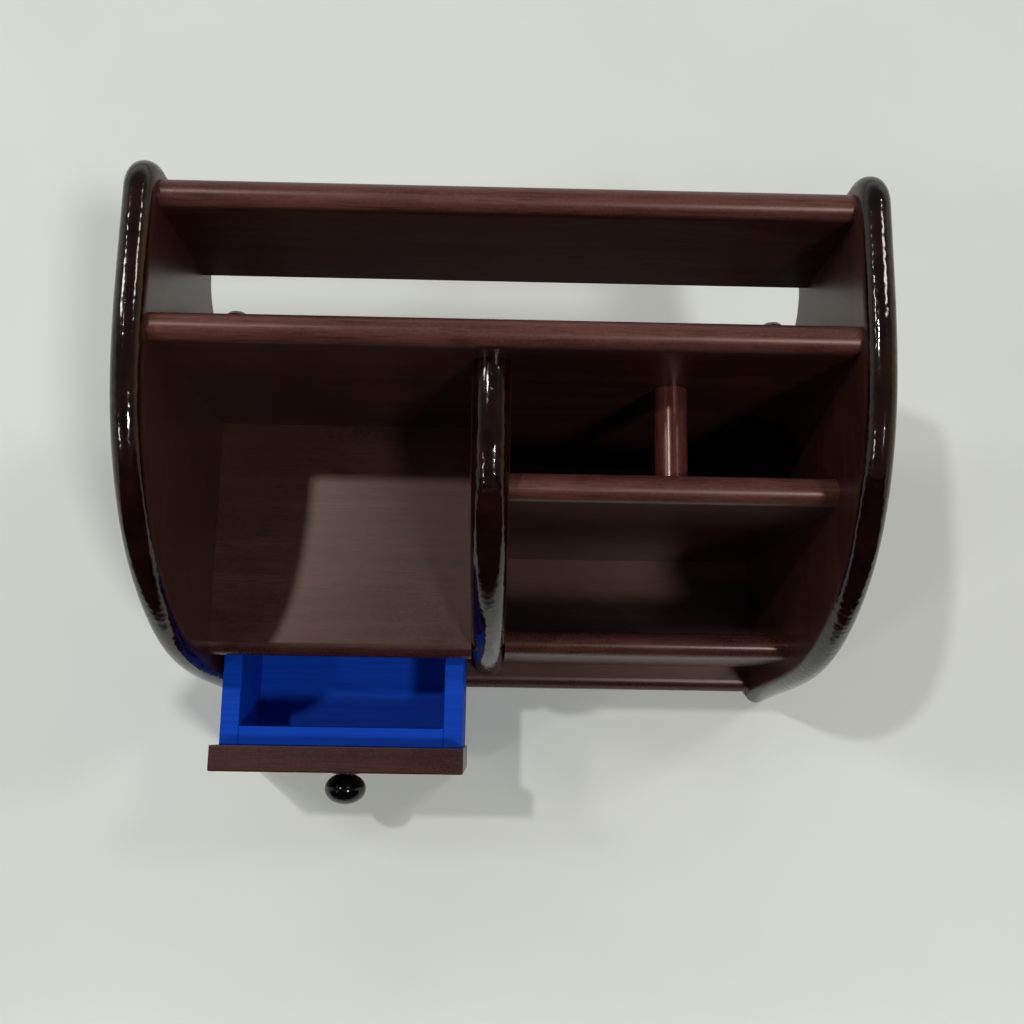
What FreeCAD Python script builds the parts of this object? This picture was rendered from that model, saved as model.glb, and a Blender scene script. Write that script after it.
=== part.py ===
"""Pen stand with drawer: veneered boards between two arched side panels.

Frame: +Z up, +X to the right seen from the front, +Y towards the back.
The origin lies on the floor, midway between the side panels and midway along their depth.
All sizes are millimetres.
"""
import FreeCAD, Part
import math
import os

V = FreeCAD.Vector

# ---- Driving dimensions: the boards ------------------------------------------------------
stand_width = 301.0
stand_height = 225.5
board = 12.0
panel = 12.5               # thickness of the side panels
divider_thickness = 16.0
edge_land = 0.1            # flat strip left between the two roundings of a panel's edge

# ---- Driving dimensions: depths, from the front of the side panels to their back ---------
base_setback = 5.8
base_ledge = 13.0          # strip of base in front of the tray lip
tray_depth = 46.0
pen_well_depth = 41.0
letter_gap = 43.5
back_board_setback = 8.0
drawer_bay_setback = 16.8  # front of the side panels to the front of the shelf

# ---- Driving dimensions: heights and places ----------------------------------------------
board_drop = 8.0           # tops of the two tall boards below the tops of the side panels
back_board_height = 72.0
mid_board_top = 181.0
lip_top = 95.0
shelf_top = 93.0
divider_offset = -5.4      # middle of the divider from the middle of the stand

# ---- Driving dimensions: outline of the side panels --------------------------------------
arch_run = 158.0           # front of the panel to where its top runs level
arch_shares = [            # share of arch_run, share of the height
    (0.000, 0.000),
    (0.023, 0.200),
    (0.046, 0.400),
    (0.097, 0.576),
    (0.200, 0.732),
    (0.323, 0.843),
    (0.562, 0.953),
    (1.000, 1.000),
]
foot_lean = 5.0            # degrees that the front edge leans back where it leaves the floor
top_corner_radius = 16.0
nose_radius = 12.5         # lower rear corner of the part that holds the back board
nose_bottom = 128.0
cove_radius = 18.0
divider_height = 203.0
divider_setback = 10.8

# ---- Driving dimensions: round pieces ----------------------------------------------------
pen_bar_diameter = 14.0
pen_bar_drop = 19.0        # top of the mid board to the middle of the bar
pen_bar_offset = 1.7       # middle of the pen well to the middle of the bar
pen_bar_socket = 5.0
peg_diameter = 11.0
peg_reach = 29.0
peg_height = 135.5
peg_inset = 14.0           # side panel's inner face to the middle of a peg
peg_socket = 8.0
peg_chamfer = 1.5
pin_diameter = 6.0
pin_length = 28.0
pin_in_panel = 9.0
pin_chamfer = 0.6
pin_margin = 18.0          # end of a joint to its outermost pins
pin_spacing = 70.0         # about this far apart along a joint
glue_gap = 0.05            # radial gap round a pin, a bar or a peg in its hole
hole_spare = 0.5           # hole deeper than the piece that goes in it

# ---- Driving dimensions: the drawer ------------------------------------------------------
drawer_play = 2.7          # front board to the side panel and to the divider
drawer_lift = 0.3          # running gap between the drawer and the base
drawer_head_gap = 3.0      # drawer walls to the underside of the shelf
drawer_length = 108.0
drawer_wall = 9.0
drawer_side_inset = 1.2    # ends of the front board to the drawer sides
drawer_bottom_thickness = 4.0
drawer_bottom_rise = 14.0
groove_depth = 4.0
groove_gap = 0.1
front_board_drop = 1.0     # top of the front board below the top of the shelf
front_board_rise = 1.0     # bottom of the front board above the base
front_board_ease = 0.8     # small rounding of the front board's outer edges
drawer_ease = 0.5          # small rounding of the drawer box's upper edges
closed_gap = 0.3           # front board to the shelf edge with the drawer shut
drawer_opening = 42.0      # how far the drawer stands out

# ---- Driving dimensions: the knob and its screw ------------------------------------------
knob_diameter = 20.5
knob_depth = 15.5          # the ball is flattened, front to back
knob_reach = 17.0          # front board to the end of the knob
knob_foot_diameter = 13.0
knob_foot_thickness = 2.0
knob_neck_diameter = 10.0
screw_diameter = 4.0
screw_in_knob = 9.0
screw_head_diameter = 8.0
screw_cone_length = 2.0    # flared part of the countersunk head
screw_sink = 0.3           # top of the head below the inner face of the drawer's front wall
screw_slot_width = 1.2
screw_slot_depth = 1.0
screw_gap = 0.25           # radial gap round the shank and the rim of the head
thread_gap = 0.05          # radial gap where the screw is held: in the knob, under its head
cut_spare = 1.0            # how far a cutting tool runs past the faces it cuts

# ---- Places worked out from the sizes ----------------------------------------------------
inner = stand_width / 2 - panel
stand_depth = (base_setback + base_ledge + tray_depth + pen_well_depth + letter_gap
               + back_board_setback + 4 * board)
front = -stand_depth / 2
base_front = front + base_setback
lip_front = base_front + base_ledge
mid_front = lip_front + board + tray_depth
wall_front = mid_front + board + pen_well_depth
wall_back = wall_front + board
back_board_front = wall_back + letter_gap
shelf_front = front + drawer_bay_setback
board_top = stand_height - board_drop
divider_left = divider_offset - divider_thickness / 2
divider_right = divider_offset + divider_thickness / 2
shelf_bottom = shelf_top - board
pen_bar_height = mid_board_top - pen_bar_drop

drawer_low = board + drawer_lift
drawer_high = shelf_bottom - drawer_head_gap
face_left = -inner + drawer_play
face_right = divider_left - drawer_play
box_left = face_left + drawer_side_inset
box_right = face_right - drawer_side_inset
face_back = shelf_front - closed_gap - drawer_opening
face_front = face_back - board
box_back = face_back + drawer_length
front_board_low = board + front_board_rise
front_board_high = shelf_top - front_board_drop
knob_x = (face_left + face_right) / 2
knob_z = (front_board_low + front_board_high) / 2
drawer_floor_low = drawer_low + drawer_bottom_rise
drawer_floor_high = drawer_floor_low + drawer_bottom_thickness

parts = {}


# ---- Helpers -----------------------------------------------------------------------------
def block(x_range, y_range, z_range):
    """A rectangular block between the given limits."""
    size = [high - low for low, high in (x_range, y_range, z_range)]
    return Part.makeBox(*size, V(x_range[0], y_range[0], z_range[0]))


def extruded(edges, x_low, x_high):
    """A solid from a closed outline drawn at x = 0 and carried from x_low to x_high."""
    face = Part.Face(Part.Wire(edges))
    solid = face.extrude(V(x_high - x_low, 0, 0))
    solid.translate(V(x_low, 0, 0))
    return solid


def at(y, z):
    """A point of an outline in the plane x = 0."""
    return V(0, y, z)


def line(start, end):
    return Part.LineSegment(start, end).toShape()


def quarter(centre, radius, start_angle, end_angle):
    """An arc in the plane x = 0; the angles are in degrees from +Y towards +Z."""
    middle_angle = (start_angle + end_angle) / 2
    points = []
    for angle in (start_angle, middle_angle, end_angle):
        turn = math.radians(angle)
        points.append(centre + at(radius * math.cos(turn), radius * math.sin(turn)))
    return Part.Arc(*points).toShape()


def round_topped(x_range, y_low, z_low, z_high):
    """An upright board with a half-round top edge."""
    radius = board / 2
    y_high = y_low + board
    shoulder = z_high - radius
    edges = [
        line(at(y_low, z_low), at(y_high, z_low)),
        line(at(y_high, z_low), at(y_high, shoulder)),
        quarter(at(y_low + radius, shoulder), radius, 0, 180),
        line(at(y_low, shoulder), at(y_low, z_low)),
    ]
    return extruded(edges, *x_range)


def round_fronted(x_range, y_range, z_low):
    """A level board with a half-round front edge."""
    radius = board / 2
    y_low, y_high = y_range
    shoulder = y_low + radius
    z_high = z_low + board
    edges = [
        line(at(shoulder, z_low), at(y_high, z_low)),
        line(at(y_high, z_low), at(y_high, z_high)),
        line(at(y_high, z_high), at(shoulder, z_high)),
        quarter(at(shoulder, z_low + radius), radius, 90, 270),
    ]
    return extruded(edges, *x_range)


def rod(start, direction, length, radius, chamfer=0.0):
    """A round rod, with both ends chamfered when a chamfer is given."""
    solid = Part.makeCylinder(radius, length, start, direction)
    if chamfer:
        rims = [edge for edge in solid.Edges if isinstance(edge.Curve, Part.Circle)]
        solid = solid.makeChamfer(chamfer, rims)
    return solid


# ---- Pins that join the boards -----------------------------------------------------------
def pin_row(centres, direction):
    """Pins and their holes. Each centre lies on the joint; direction points into the board."""
    pins = []
    holes = []
    for centre in centres:
        start = centre - direction * pin_in_panel
        pins.append(rod(start, direction, pin_length, pin_diameter / 2, pin_chamfer))
        holes.append(rod(start - direction * hole_spare, direction, pin_length + 2 * hole_spare,
                         pin_diameter / 2 + glue_gap))
    return pins, holes


def spread(low, high):
    """Places for the pins of a joint that runs between two limits."""
    first = low + pin_margin
    run = high - low - 2 * pin_margin
    steps = max(1, round(run / pin_spacing))
    return [first + run * step / steps for step in range(steps + 1)]


half = board / 2

upright_joints = {   # name: (left face, right face, y of the pins, low z, high z)
    "back_board": (-inner, inner, back_board_front + half,
                   board_top - back_board_height, board_top),
    "rear_wall": (-inner, inner, wall_front + half, board, board_top),
    "mid_board": (divider_right, inner, mid_front + half, board, mid_board_top),
    "tray_lip": (divider_right, inner, lip_front + half, board, lip_top),
}
level_joints = {     # name: (left face, right face, z of the pins, low y, high y)
    "base_board": (-inner, inner, half, base_front, wall_back),
    "shelf": (-inner, divider_left, shelf_bottom + half, shelf_front, wall_front),
}

pins_of = {}
holes_of = {}
for name, (left, right, y, z_low, z_high) in upright_joints.items():
    places = spread(z_low, z_high)
    left_pins, left_holes = pin_row([V(left, y, z) for z in places], V(1, 0, 0))
    right_pins, right_holes = pin_row([V(right, y, z) for z in places], V(-1, 0, 0))
    pins_of[name] = left_pins + right_pins
    holes_of[name] = left_holes + right_holes
for name, (left, right, z, y_low, y_high) in level_joints.items():
    places = spread(y_low, y_high)
    left_pins, left_holes = pin_row([V(left, y, z) for y in places], V(1, 0, 0))
    right_pins, right_holes = pin_row([V(right, y, z) for y in places], V(-1, 0, 0))
    pins_of[name] = left_pins + right_pins
    holes_of[name] = left_holes + right_holes

divider_foot_y = [lip_front + board + pin_margin, wall_front - pin_margin]
divider_wall_z = [board + 2 * pin_margin, divider_height - 2 * pin_margin]
foot_pins, foot_holes = pin_row([V(divider_offset, y, board) for y in divider_foot_y], V(0, 0, 1))
wall_pins, wall_holes = pin_row([V(divider_offset, wall_front, z) for z in divider_wall_z],
                                V(0, -1, 0))
pins_of["divider"] = foot_pins + wall_pins
holes_of["divider"] = foot_holes + wall_holes

# ---- Round bar and pegs, and the sockets they sit in -------------------------------------
pen_bar_x = (divider_right + inner) / 2 + pen_bar_offset
pen_bar_start = V(pen_bar_x, mid_front + board - pen_bar_socket, pen_bar_height)
pen_bar_length = pen_well_depth + 2 * pen_bar_socket
bar_socket = rod(pen_bar_start - V(0, hole_spare, 0), V(0, 1, 0),
                 pen_bar_length + 2 * hole_spare, pen_bar_diameter / 2 + glue_gap)
peg_places = {"letter_peg_left": -inner + peg_inset, "letter_peg_right": inner - peg_inset}
peg_sockets = [rod(V(x, wall_back - peg_socket - hole_spare, peg_height), V(0, 1, 0),
                   peg_socket + peg_reach, peg_diameter / 2 + glue_gap)
               for x in peg_places.values()]


# ---- Arched panels -----------------------------------------------------------------------
def arch_curve(start_y, run, height):
    """The curved front of a panel, from the floor up to where its top runs level."""
    points = [at(start_y + run * along, height * rise) for along, rise in arch_shares]
    lean = math.radians(foot_lean)
    curve = Part.BSplineCurve()
    curve.interpolate(Points=points, InitialTangent=at(math.sin(lean), math.cos(lean)),
                      FinalTangent=at(1, 0))
    return curve.toShape(), points[0], points[-1]


def rounded_along(solid, thickness, square_faces):
    """Rounds a panel's long edges, apart from those of the faces that stay square."""
    def is_kept(edge):
        box = edge.BoundBox
        across = box.XLength > edge_land
        return across or any(test(box) for test in square_faces)
    edges = [edge for edge in solid.Edges if not is_kept(edge)]
    return solid.makeFillet(thickness / 2 - edge_land, edges)


def side_panel(x_low):
    """A side panel with a rounded edge all round, apart from its foot."""
    rear = front + stand_depth
    curve, foot, crest = arch_curve(front, arch_run, stand_height)
    corner = at(rear - top_corner_radius, stand_height - top_corner_radius)
    nose = at(rear - nose_radius, nose_bottom + nose_radius)
    cove = at(rear - nose_radius, nose_bottom - cove_radius)
    heel_y = rear - nose_radius - cove_radius
    edges = [
        curve,
        line(crest, at(corner.y, stand_height)),
        quarter(corner, top_corner_radius, 90, 0),
        line(at(rear, corner.z), at(rear, nose.z)),
        quarter(nose, nose_radius, 0, -90),
        quarter(cove, cove_radius, 90, 180),
        line(at(heel_y, cove.z), at(heel_y, 0)),
        line(at(heel_y, 0), foot),
    ]
    blank = extruded(edges, x_low, x_low + panel)
    return rounded_along(blank, panel, [lambda box: box.ZMax < edge_land])


def divider_panel():
    """The divider: a smaller arch that stands on the base and runs level at the rear wall."""
    start_y = front + divider_setback
    curve, foot, crest = arch_curve(start_y, wall_front - start_y, divider_height)
    rear = wall_back + board
    edges = [
        curve,
        line(crest, at(rear, crest.z)),
        line(at(rear, crest.z), at(rear, 0)),
        line(at(rear, 0), foot),
    ]
    blank = extruded(edges, divider_left, divider_right)
    rounded = rounded_along(blank, divider_thickness, [lambda box: box.ZMax < edge_land,
                                           lambda box: box.YMin > rear - edge_land])
    room = block((divider_left, divider_right), (front, wall_front), (board, stand_height))
    return rounded.common(room)


# ---- The fixed boards --------------------------------------------------------------------
all_side_holes = [hole for holes in holes_of.values() for hole in holes]

for name, x_low in (("side_panel_left", -inner - panel), ("side_panel_right", inner)):
    parts[name] = side_panel(x_low).cut(all_side_holes)

parts["divider"] = divider_panel().cut(
    holes_of["divider"] + holes_of["mid_board"] + holes_of["tray_lip"] + holes_of["shelf"])
parts["base_board"] = round_fronted((-inner, inner), (base_front, wall_back), 0.0).cut(
    holes_of["base_board"] + foot_holes)
parts["shelf"] = round_fronted((-inner, divider_left), (shelf_front, wall_front),
                               shelf_bottom).cut(holes_of["shelf"])
parts["rear_wall"] = round_topped((-inner, inner), wall_front, board, board_top).cut(
    holes_of["rear_wall"] + wall_holes + peg_sockets + [bar_socket])
parts["back_board"] = round_topped((-inner, inner), back_board_front,
                                   board_top - back_board_height, board_top).cut(
    holes_of["back_board"])
parts["mid_board"] = round_topped((divider_right, inner), mid_front, board, mid_board_top).cut(
    holes_of["mid_board"] + [bar_socket])
parts["tray_lip"] = round_topped((divider_right, inner), lip_front, board, lip_top).cut(
    holes_of["tray_lip"])

parts["pen_bar"] = rod(pen_bar_start, V(0, 1, 0), pen_bar_length, pen_bar_diameter / 2)
for name, x in peg_places.items():
    parts[name] = rod(V(x, wall_back - peg_socket, peg_height), V(0, 1, 0),
                      peg_socket + peg_reach, peg_diameter / 2, peg_chamfer)
for name, pins in pins_of.items():
    parts["pins_" + name] = Part.makeCompound(pins)


# ---- The drawer --------------------------------------------------------------------------
def on_knob_axis(radius, y_low, y_high):
    """A round rod on the knob's axis, from the front towards the back."""
    return rod(V(knob_x, y_low, knob_z), V(0, 1, 0), y_high - y_low, radius)


def screw_flare(spare):
    """The countersunk head of the knob's screw, or room for it when some spare is given."""
    head_top = inside_front - screw_sink
    return Part.makeCone(screw_diameter / 2 + spare, screw_head_diameter / 2 + spare,
                         screw_cone_length, V(knob_x, head_top - screw_cone_length, knob_z),
                         V(0, 1, 0))


def drawer_board(x_range, y_range):
    """One upright board of the drawer box, with its upper edges eased."""
    blank = block(x_range, y_range, (drawer_low, drawer_high))
    upper = [edge for edge in blank.Edges if edge.BoundBox.ZMin > drawer_high - drawer_ease]
    return blank.makeFillet(drawer_ease, upper)


inside_left = box_left + drawer_wall
inside_right = box_right - drawer_wall
inside_front = face_back + drawer_wall
inside_back = box_back - drawer_wall
groove = block((inside_left - groove_depth, inside_right + groove_depth),
               (inside_front - groove_depth, inside_back + groove_depth),
               (drawer_floor_low - groove_gap, drawer_floor_high + groove_gap))

parts["drawer_side_left"] = drawer_board((box_left, inside_left),
                                         (face_back, box_back)).cut(groove)
parts["drawer_side_right"] = drawer_board((inside_right, box_right),
                                          (face_back, box_back)).cut(groove)
parts["drawer_front_wall"] = drawer_board((inside_left, inside_right),
                                          (face_back, inside_front)).cut(
    [groove, screw_flare(thread_gap),
     on_knob_axis(screw_diameter / 2 + screw_gap,
                     face_back - cut_spare, inside_front - screw_sink),
     on_knob_axis(screw_head_diameter / 2 + screw_gap,
                     inside_front - screw_sink, inside_front + cut_spare)])
parts["drawer_back_wall"] = drawer_board((inside_left, inside_right),
                                         (inside_back, box_back)).cut(groove)
parts["drawer_bottom"] = block(
    (inside_left - groove_depth + groove_gap, inside_right + groove_depth - groove_gap),
    (inside_front - groove_depth + groove_gap, inside_back + groove_depth - groove_gap),
    (drawer_floor_low, drawer_floor_high))

front_blank = block((face_left, face_right), (face_front, face_back),
                    (front_board_low, front_board_high))
outer_rim = [edge for edge in front_blank.Edges if edge.BoundBox.YMax < face_front + edge_land]
parts["drawer_front_board"] = front_blank.makeFillet(front_board_ease, outer_rim).cut(
    on_knob_axis(screw_diameter / 2 + screw_gap,
                    face_front - cut_spare, face_back + cut_spare))


def knob():
    """A flattened ball on a short neck and a flat foot, bored from behind for its screw."""
    ball_y = face_front - knob_reach + knob_depth / 2
    away = V(0, -1, 0)
    seat = V(knob_x, face_front, knob_z)
    squash = FreeCAD.Matrix()
    squash.scale(V(1, knob_depth / knob_diameter, 1))
    ball = Part.makeSphere(knob_diameter / 2).transformGeometry(squash)
    ball.translate(V(knob_x, ball_y, knob_z))
    neck = rod(seat, away, face_front - ball_y, knob_neck_diameter / 2)
    foot = rod(seat, away, knob_foot_thickness, knob_foot_diameter / 2)
    bore = on_knob_axis(screw_diameter / 2 + thread_gap,
                           face_front - screw_in_knob - hole_spare, face_front + cut_spare)
    return ball.fuse([neck, foot]).removeSplitter().cut(bore)


def knob_screw():
    """A slotted countersunk screw from inside the drawer through to the knob."""
    tip_y = face_front - screw_in_knob
    head_top = inside_front - screw_sink
    shank = on_knob_axis(screw_diameter / 2, tip_y, head_top - screw_cone_length)
    slot = block((knob_x - screw_head_diameter, knob_x + screw_head_diameter),
                 (head_top - screw_slot_depth, head_top + cut_spare),
                 (knob_z - screw_slot_width / 2, knob_z + screw_slot_width / 2))
    return shank.fuse(screw_flare(0.0)).removeSplitter().cut(slot)


parts["knob"] = knob()
parts["knob_screw"] = knob_screw()

# ---- Write the pieces --------------------------------------------------------------------
os.makedirs("parts", exist_ok=True)
for name, shape in parts.items():
    if not shape.isValid():
        raise ValueError(name + " is not a valid solid")
    shape.exportStep(os.path.join("parts", name + ".step"))
    box = shape.BoundBox
    print("%-20s solids %d  volume %9.1f  x %7.1f %7.1f  y %7.1f %7.1f  z %6.1f %6.1f" % (
        name, len(shape.Solids), shape.Volume, box.XMin, box.XMax, box.YMin, box.YMax,
        box.ZMin, box.ZMax))
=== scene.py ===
import math
import bpy
from mathutils import Euler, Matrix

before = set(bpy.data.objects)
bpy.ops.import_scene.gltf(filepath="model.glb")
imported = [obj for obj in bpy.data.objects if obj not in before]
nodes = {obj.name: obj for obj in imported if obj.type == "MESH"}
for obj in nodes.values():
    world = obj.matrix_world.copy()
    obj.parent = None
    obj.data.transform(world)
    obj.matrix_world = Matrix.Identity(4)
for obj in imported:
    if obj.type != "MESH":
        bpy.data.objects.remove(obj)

# Pen stand with drawer: finishes for its boards, panels, drawer and knob, with a pale
# floor, ceiling lamps and a camera. Lengths are metres; MM turns millimetres into them.
MM = 0.001
X, Y, Z = 0, 1, 2
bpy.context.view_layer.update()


# ---- Colours and nodes ---------------------------------------------------------------

def colour(hex_code):
    """An sRGB hex colour as the linear RGBA that the shaders take."""
    parts = [int(hex_code[i:i + 2], 16) / 255 for i in (1, 3, 5)]
    return tuple(c / 12.92 if c <= 0.04045 else ((c + 0.055) / 1.055) ** 2.4
                 for c in parts) + (1.0,)


def add(tree, kind, settings=None, **sockets):
    """Adds a node. settings are its own options; each socket gets a value or a link.
    A socket is named by its label with _ for a space, or by _ and its number."""
    node = tree.nodes.new("ShaderNode" + kind)
    for option, value in (settings or {}).items():
        setattr(node, option, value)
    for label, value in sockets.items():
        spot = node.inputs[int(label[1:]) if label[0] == "_" else label.replace("_", " ")]
        if isinstance(value, bpy.types.Node):
            value = value.outputs[0]
        if isinstance(value, bpy.types.NodeSocket):
            tree.links.new(value, spot)
        else:
            spot.default_value = value
    return node


def maths(tree, operation, *values):
    """The result of a maths node on up to three values."""
    return add(tree, "Math", {"operation": operation},
               **{f"_{spot}": value for spot, value in enumerate(values)}).outputs[0]


def sum_of(tree, *shares):
    """Patterns added up, each as (pattern, weight)."""
    total = 0.0
    for pattern, weight in shares:
        total = maths(tree, "MULTIPLY_ADD", pattern, weight, total)
    return total


def blend(tree, share, low, high):
    """low where share is 0 and high where it is 1, as a colour."""
    return add(tree, "Mix", {"data_type": "RGBA"}, _0=share, _6=low, _7=high).outputs[2]


def steps(tree, value, *stops):
    """A ramp through (place, grey or colour) stops, level before the first and after the
    last."""
    node = add(tree, "ValToRGB", _0=value)
    ramp = node.color_ramp
    while len(ramp.elements) < len(stops):
        ramp.elements.new(0.5)
    for element, (place, tone) in zip(ramp.elements, stops):
        element.position = place
        element.color = colour(tone) if isinstance(tone, str) else (tone, tone, tone, 1.0)
    return node.outputs[0]


def slope(tree, value, start, end, low=0.0, high=1.0):
    """low where value is at start, high where it is at end, and held level outside."""
    return add(tree, "MapRange", Value=value, _1=start, _2=end, _3=low, _4=high).outputs[0]


def spread(tree, pattern, low, high):
    """A pattern's middle range stretched from low to high."""
    return slope(tree, pattern, 0.3, 0.7, low, high)


def finish(name, build):
    """A material whose surface is what build(tree) returns."""
    made = bpy.data.materials.new(name)
    made.use_nodes = True
    tree = made.node_tree
    tree.nodes.clear()
    add(tree, "OutputMaterial", Surface=build(tree))
    return made


# ---- Patterns ------------------------------------------------------------------------

def per_mm(size):
    """The texture scale that gives features of about this many millimetres."""
    return 1.0 / (size * MM)


def here(tree):
    """The point on the piece, in metres."""
    return add(tree, "TexCoord").outputs["Object"]


def noise(tree, place, size, detail=2.0, rough=0.5):
    """Cloudy pattern with features of about size millimetres."""
    return add(tree, "TexNoise", Vector=place, Scale=per_mm(size), Detail=detail,
               Roughness=rough).outputs["Fac"]


def grain_space(tree, along):
    """Object coordinates turned so that the wood's grain runs along their first axis."""
    place = add(tree, "SeparateXYZ", _0=here(tree)).outputs
    side, depth = (axis for axis in (X, Y, Z) if axis != along)
    return add(tree, "CombineXYZ", _0=place[along], _1=place[side], _2=place[depth])


def streaks(tree, space, length, width, detail=3.0, rough=0.55, twist=0.0):
    """Noise drawn out along the grain: each streak is about length by width millimetres."""
    drawn = add(tree, "Mapping", Vector=space,
                Scale=(per_mm(length), per_mm(width), per_mm(width)))
    return add(tree, "TexNoise", Vector=drawn, Scale=1.0, Detail=detail, Roughness=rough,
               Distortion=twist).outputs["Fac"]


def facing(tree, axis):
    """How squarely the surface looks along an axis of the piece, from 0 to 1."""
    normal = add(tree, "TexCoord").outputs["Normal"]
    return maths(tree, "ABSOLUTE", add(tree, "SeparateXYZ", _0=normal).outputs[axis])


def sharp_edges(tree, radius):
    """1 on corners and edges sharper than the radius in millimetres, 0 on flats."""
    soft = add(tree, "Bevel", {"samples": 6}, Radius=radius * MM)
    true = add(tree, "NewGeometry").outputs["Normal"]
    agree = add(tree, "VectorMath", {"operation": "DOT_PRODUCT"}, _0=soft, _1=true)
    return steps(tree, agree.outputs["Value"], (0.80, 1.0), (0.99, 0.0))


# ---- Wood ----------------------------------------------------------------------------

# Each stain is (pores, body, lit fibre).
VENEER = ("#24110f", "#371d1a", "#482824")
EDGE_STAIN_AND_PAINTED_LIGHT = ("#3a1d19", "#542e2a", "#6b433c")  # rounded edges take the stain redder, and lighter as painted light for what their crowns catch
LOWER_EDGE_STAIN_PAINTED_SHADE = ("#29130f", "#3d1f1c", "#52302b")  # painted shade: darker on the lower boards' rounded edges, which get less light
TURNED = ("#3a1a16", "#53292a", "#6a3b36")      # the same stain on turned bars
WARM_GLOSS = "#ffe2dd"      # the stained lacquer warms what it reflects
LACQUER_IOR = 1.5

# How rough the lacquer is, from the glossiest piece to the most satin one.
TURNED_ROUGH = 0.22
DEEP_EDGE_ROUGH = 0.28
FRONT_ROUGH = 0.29
WORN_ROUGH = 0.30
PANEL_ROUGH = 0.34
FACE_ROUGH = 0.35
EDGE_ROUGH = 0.36

# How much a face reflects: a thin coat, the usual one and a full one.
THIN_SHINE, SHINE, FULL_SHINE = 0.15, 0.5, 0.7


def rosewood(tree, along, tones, rough, shine=SHINE):
    """Dark red-brown veneer under thin satin lacquer: soft darker bands, short open pores
    and a fine weave from sanding, which also break up the gloss."""
    space = grain_space(tree, along)
    bands = streaks(tree, space, length=120, width=6.0, rough=0.5, twist=0.3)
    pores = streaks(tree, space, length=14.0, width=0.8, detail=2.0, rough=0.5)
    weave = noise(tree, space, 1.3)
    cloud = noise(tree, space, 45)
    dark, middle, light = tones
    body = steps(tree, bands, (0.30, dark), (0.50, middle), (0.72, light))
    body = blend(tree, steps(tree, weave, (0.38, 0.0), (0.66, 0.45)), body, colour(light))
    body = blend(tree, steps(tree, pores, (0.52, 0.0), (0.64, 0.80)), body, colour(dark))
    body = blend(tree, 0.30, body, steps(tree, cloud, (0.3, dark), (0.7, light)))
    skin = add(tree, "Bump", Strength=0.25, Distance=0.05 * MM,
               Height=sum_of(tree, (weave, 0.6), (pores, -0.5), (cloud, 0.3)))
    uneven = sum_of(tree, (weave, 0.5), (cloud, 0.5))
    return add(tree, "BsdfPrincipled", Base_Color=body, Normal=skin, IOR=LACQUER_IOR,
               Roughness=spread(tree, uneven, rough - 0.04, rough + 0.05),
               Specular_Tint=colour(WARM_GLOSS), Specular_IOR_Level=shine).outputs[0]


def veneered_board(flat_axis, edge_stain_with_painted_light_and_shade, edge_rough, shine=SHINE):
    """A board whose flat faces look along flat_axis and have this much shine, with another stain
    and gloss on its rounded edge. That stain also holds painted light on the upper boards'
    edges and painted shade on the lower boards' edges."""
    def build(tree):
        flat = rosewood(tree, X, VENEER, FACE_ROUGH, shine)
        round_edge = rosewood(tree, X, edge_stain_with_painted_light_and_shade, edge_rough)
        share = steps(tree, facing(tree, flat_axis), (0.86, 0.0), (0.97, 1.0))
        return add(tree, "MixShader", _0=share, _1=round_edge, _2=flat).outputs[0]
    return build


def veneered_front(tree):
    """The drawer's front: the same veneer on all faces, a little worn at its sharp edges."""
    body = rosewood(tree, X, VENEER, FRONT_ROUGH)
    worn = rosewood(tree, X, EDGE_STAIN_AND_PAINTED_LIGHT, WORN_ROUGH)
    return add(tree, "MixShader", _0=sharp_edges(tree, 0.7), _1=body, _2=worn).outputs[0]


def turned_bar(tree):
    """Turned bars and pegs, stained as the boards are and lacquered to a fuller gloss."""
    return rosewood(tree, Y, TURNED, TURNED_ROUGH)


def lacquered_edge(tree):
    """Thick black-brown gloss lacquer, brushed on by hand: it pools and ripples, so
    reflections of lamps break into beads."""
    place = here(tree)
    sag = noise(tree, place, 12.0)
    thick = spread(tree, noise(tree, place, 40), 0.1, 2.0)
    ripple = maths(tree, "MULTIPLY", noise(tree, place, 3.0, detail=0.0), thick)
    skin = add(tree, "Bump", Strength=1.0, Distance=0.10 * MM,
               Height=sum_of(tree, (ripple, 1.0), (sag, 1.8)))
    body = steps(tree, sag, (0.35, "#110605"), (0.65, "#200d0a"))
    return add(tree, "BsdfPrincipled", Base_Color=body, IOR=LACQUER_IOR, Normal=skin,
               Roughness=spread(tree, sag, 0.07, 0.12)).outputs[0]


def lacquered_panel(tree):
    """Veneered faces with the lacquer drawn over the rounded edge and just onto the face."""
    share = steps(tree, facing(tree, X), (0.90, 0.0), (0.97, 1.0))
    return add(tree, "MixShader", _0=share, _1=lacquered_edge(tree),
               _2=rosewood(tree, Y, VENEER, PANEL_ROUGH)).outputs[0]


def beech_pin(tree):
    """Raw beech: pale, with short brown flecks along the grain."""
    flecks = streaks(tree, grain_space(tree, X), length=3.0, width=0.5)
    return add(tree, "BsdfPrincipled", Roughness=0.6,
               Base_Color=steps(tree, flecks, (0.4, "#c9a06c"), (0.7, "#a87a48"))).outputs[0]


# ---- Drawer --------------------------------------------------------------------------

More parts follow.
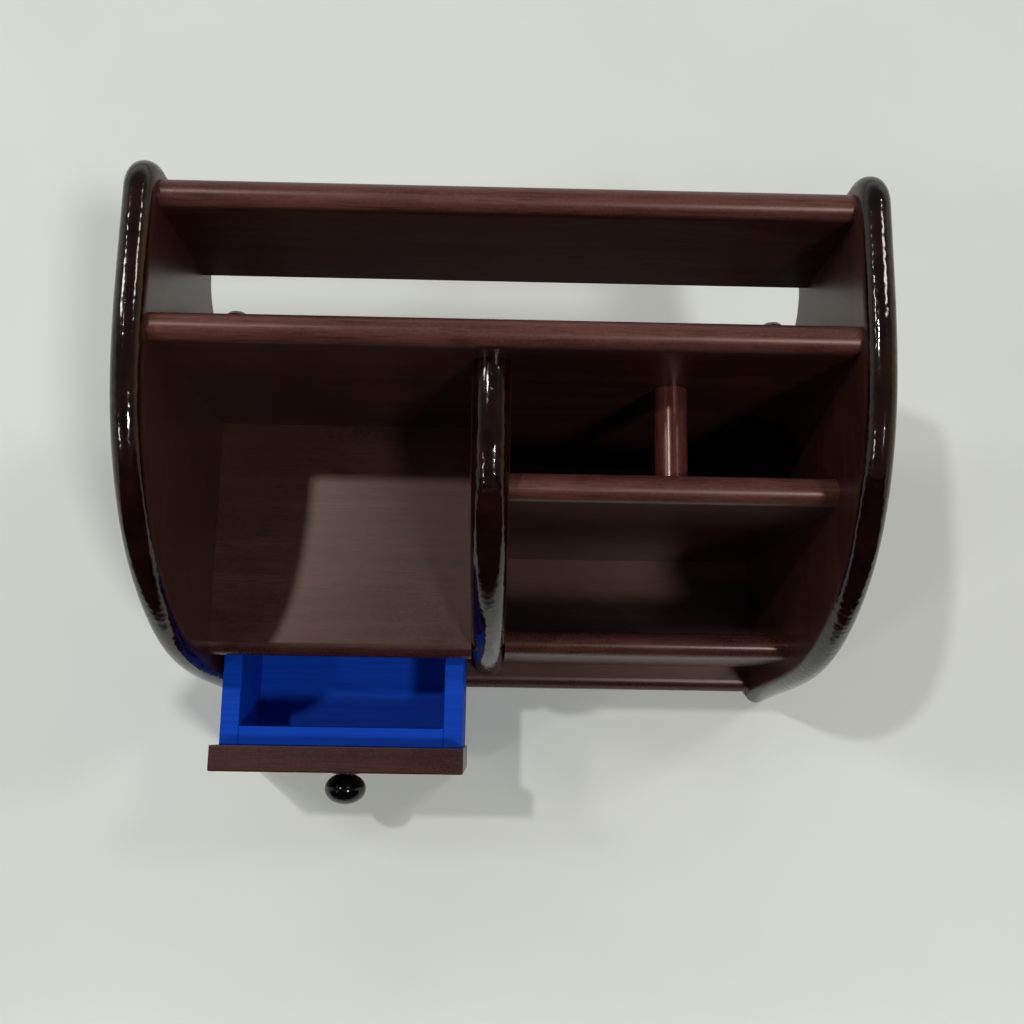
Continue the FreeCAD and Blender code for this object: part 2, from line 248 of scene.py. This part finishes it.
def blue_paint(tree):
    """Royal blue satin paint, rolled on wood: a fine stipple, a faint trace of grain, and
    paler lines on its sharp edges, partly rubbed paint and partly a painted highlight."""
    place = here(tree)
    stipple = noise(tree, place, 0.8, detail=3.0)
    grain = streaks(tree, place, length=60, width=1.6, rough=0.6)
    # Paler sharp edges: partly rubbed paint, partly a painted highlight.
    worn = maths(tree, "MULTIPLY", sharp_edges(tree, 0.5), stipple)
    tone = blend(tree, worn, steps(tree, grain, (0.3, "#033cb0"), (0.7, "#0547c8")),
                 colour("#4a78cc"))
    skin = add(tree, "Bump", Strength=0.3, Distance=0.04 * MM,
               Height=sum_of(tree, (grain, 0.6), (stipple, 1.0)))
    return add(tree, "BsdfPrincipled", Base_Color=tone, IOR=1.45, Normal=skin,
               Roughness=spread(tree, stipple, 0.50, 0.62),
               Specular_IOR_Level=0.1).outputs[0]


def black_knob(tree):
    """Moulded black plastic, polished: small sharp lamp glints and a few fine scuffs."""
    scuff = noise(tree, here(tree), 5.0, detail=6.0, rough=0.7)
    return add(tree, "BsdfPrincipled", Base_Color=colour("#060607"), IOR=1.49,
               Roughness=spread(tree, scuff, 0.05, 0.20)).outputs[0]


def zinc_screw(tree):
    """Zinc-plated steel, turned: fine specks of brighter and duller grey."""
    dull = noise(tree, here(tree), 1.2, detail=3.0)
    return add(tree, "BsdfPrincipled", Metallic=1.0, Roughness=spread(tree, dull, 0.25, 0.45),
               Base_Color=steps(tree, dull, (0.3, "#8d8c88"), (0.7, "#bdbbb5"))).outputs[0]


# ---- Dress the pieces ----------------------------------------------------------------

finishes = {
    finish("rosewood_panel_with_gloss_lacquer_edge", lacquered_panel):
        ("side_panel_left", "side_panel_right", "divider"),
    # The upper boards' rounded edges carry painted light in their lighter stain.
    finish("rosewood_veneer_upright", veneered_board(Y, EDGE_STAIN_AND_PAINTED_LIGHT, EDGE_ROUGH)):
        ("rear_wall", "mid_board"),
    finish("rosewood_veneer_upright_dull",
           veneered_board(Y, EDGE_STAIN_AND_PAINTED_LIGHT, EDGE_ROUGH, THIN_SHINE)): ("back_board",),
    # The lower boards' rounded edges carry painted shade in a darker stain.
    finish("rosewood_veneer_upright_painted_shade_edge",
           veneered_board(Y, LOWER_EDGE_STAIN_PAINTED_SHADE, DEEP_EDGE_ROUGH)): ("tray_lip",),
    finish("rosewood_veneer_level_painted_shade_edge",
           veneered_board(Z, LOWER_EDGE_STAIN_PAINTED_SHADE, DEEP_EDGE_ROUGH, FULL_SHINE)): ("base_board", "shelf"),
    finish("rosewood_veneer_drawer_front", veneered_front): ("drawer_front_board",),
    finish("turned_rosewood_gloss", turned_bar):
        ("pen_bar", "letter_peg_left", "letter_peg_right"),
    finish("royal_blue_satin_paint", blue_paint):
        ("drawer_side_left", "drawer_side_right", "drawer_front_wall", "drawer_back_wall",
         "drawer_bottom"),
    finish("polished_black_plastic", black_knob): ("knob",),
    finish("zinc_plated_steel", zinc_screw): ("knob_screw",),
    finish("raw_beech", beech_pin): [name for name in nodes if name.startswith("pins_")],
}
for material, names in finishes.items():
    for name in names:
        mesh = nodes[name].data
        mesh.materials.clear()
        mesh.materials.append(material)


# ---- Floor and cloth -----------------------------------------------------------------

FLOOR_PALE, FLOOR_PALER = "#e9eeec", "#eff4f2"
FLOOR_REACH = 4.0       # from its middle to each side
CLOTH_DARK = "#1b1a1b"
CLOTH_NEAR = -0.31      # its place along Y, in front of the stand
CLOTH_HALF = 0.70       # half its width
CLOTH_TOP = 0.55
CLOTH_FOOT = 0.07       # the height over which it turns dark


def pale_floor(tree):
    """A smooth pale table cover with a very faint mottle."""
    mottle = noise(tree, here(tree), 160, detail=3.0)
    return add(tree, "BsdfPrincipled", Roughness=0.6,
               Base_Color=steps(tree, mottle, (0.3, FLOOR_PALE), (0.7, FLOOR_PALER))).outputs[0]


def dark_cloth(tree):
    """Cloth as pale as the floor where it meets it, and dark above its foot, so that its
    reflections fade out softly."""
    height = add(tree, "SeparateXYZ", _0=here(tree)).outputs[Z]
    return add(tree, "BsdfDiffuse",
               Color=steps(tree, height, (0.0, FLOOR_PALE), (CLOTH_FOOT, CLOTH_DARK))).outputs[0]


def stage_sheet(name, corners, material):
    """A flat sheet of the stage, from its corners."""
    mesh = bpy.data.meshes.new(name)
    mesh.from_pydata(corners, [], [tuple(range(len(corners)))])
    mesh.materials.append(material)
    sheet = bpy.data.objects.new(name, mesh)
    bpy.context.scene.collection.objects.link(sheet)
    return sheet


stage_sheet("floor", [(x * FLOOR_REACH, y * FLOOR_REACH, 0.0)
                      for x, y in ((-1, -1), (1, -1), (1, 1), (-1, 1))],
            finish("pale_floor", pale_floor))

# A dark cloth hangs where someone would stand, at the near side. It darkens what the
# stand's rounded fronts reflect, is never seen itself and casts no shadow.
cloth = stage_sheet("dark_cloth", [(x * CLOTH_HALF, CLOTH_NEAR, up * CLOTH_TOP)
                                   for x, up in ((-1, 0), (1, 0), (1, 1), (-1, 1))],
                    finish("dark_cloth", dark_cloth))
cloth.visible_camera = False
cloth.visible_shadow = False


# ---- Lamps and room ------------------------------------------------------------------

CEILING = 2.3       # height of the lamps
LAMP_TARGET = 0.2   # height of the stand, from which the leans are counted
LAMP_WHITE = "#fffdf6"
lamps = {           # name: (lean to the right, lean to the back, width, power)
    "lamp_left": (-0.424, 0.236, 0.11, 14.0),
    "lamp_far_left": (-0.95, 0.46, 0.50, 14.0),
    "lamp_far_right": (0.76, 0.50, 0.50, 11.0),
    "lamp_right": (0.42, -0.40, 0.36, 22.5),
    "lamp_near_left": (-0.95, -0.55, 0.45, 9.5),
}
for name, (lean_x, lean_y, width, power) in lamps.items():
    light = bpy.data.lights.new(name, "AREA")
    light.shape = "DISK"
    light.size = width
    light.energy = power
    light.color = colour(LAMP_WHITE)[:3]
    lamp = bpy.data.objects.new(name, light)
    rise = CEILING - LAMP_TARGET
    lamp.location = (lean_x * rise, lean_y * rise, CEILING)
    bpy.context.scene.collection.objects.link(lamp)


NEAR_WALL, FAR_WALL = 0.55, 0.98
RIGHT_EXTRA = 0.06      # how much brighter the wall on the right is
SOMEONE = (0.08, 0.08, 0.08, 1.0)
DAYLIGHT, WARM_LAMPLIGHT = "#e6eae8", "#e2c797"


def room_light(tree):
    """Pale walls, brighter at the far side and on the right, under a dark ceiling. The near
    side is dark up to the ceiling, as it is where someone stands. Directions run from -1
    to 1 along each axis."""
    right, far, up = add(tree, "SeparateXYZ",
                         _0=add(tree, "TexCoord").outputs["Generated"]).outputs
    depth = slope(tree, far, -0.8, 0.8, NEAR_WALL, FAR_WALL)
    walls = sum_of(tree, (right, RIGHT_EXTRA), (depth, 1.0))
    height = steps(tree, up, (0.24, 1.0), (0.55, 0.24), (0.80, 0.15), (0.97, 0.12))
    near = slope(tree, far, -0.05, -0.30)
    middle = slope(tree, maths(tree, "ABSOLUTE", right), 0.62, 0.40)
    strength = blend(tree, maths(tree, "MULTIPLY", near, middle),
                     maths(tree, "MULTIPLY", walls, height), SOMEONE)
    tint = steps(tree, right, (0.60, DAYLIGHT), (0.92, WARM_LAMPLIGHT))
    return add(tree, "Background", Color=tint, Strength=strength).outputs[0]


world = bpy.data.worlds.new("room")
world.use_nodes = True
world.node_tree.nodes.clear()
add(world.node_tree, "OutputWorld", Surface=room_light(world.node_tree))
bpy.context.scene.world = world
bpy.context.scene.view_settings.view_transform = "Standard"


# ---- Camera --------------------------------------------------------------------------

SENSOR_MM, LENS_MM = 36.0, 38.67
CAMERA_PLACE = (-0.0023, -0.11515, 0.6206)
CAMERA_TURN = (10.77, -0.96, 0.89)      # degrees about X, Y and Z

camera = bpy.data.cameras.new("camera")
camera.sensor_width = SENSOR_MM
camera.lens = LENS_MM
camera_object = bpy.data.objects.new("camera", camera)
camera_object.location = CAMERA_PLACE
camera_object.rotation_euler = Euler([math.radians(a) for a in CAMERA_TURN], "XYZ")
bpy.context.scene.collection.objects.link(camera_object)
bpy.context.scene.camera = camera_object
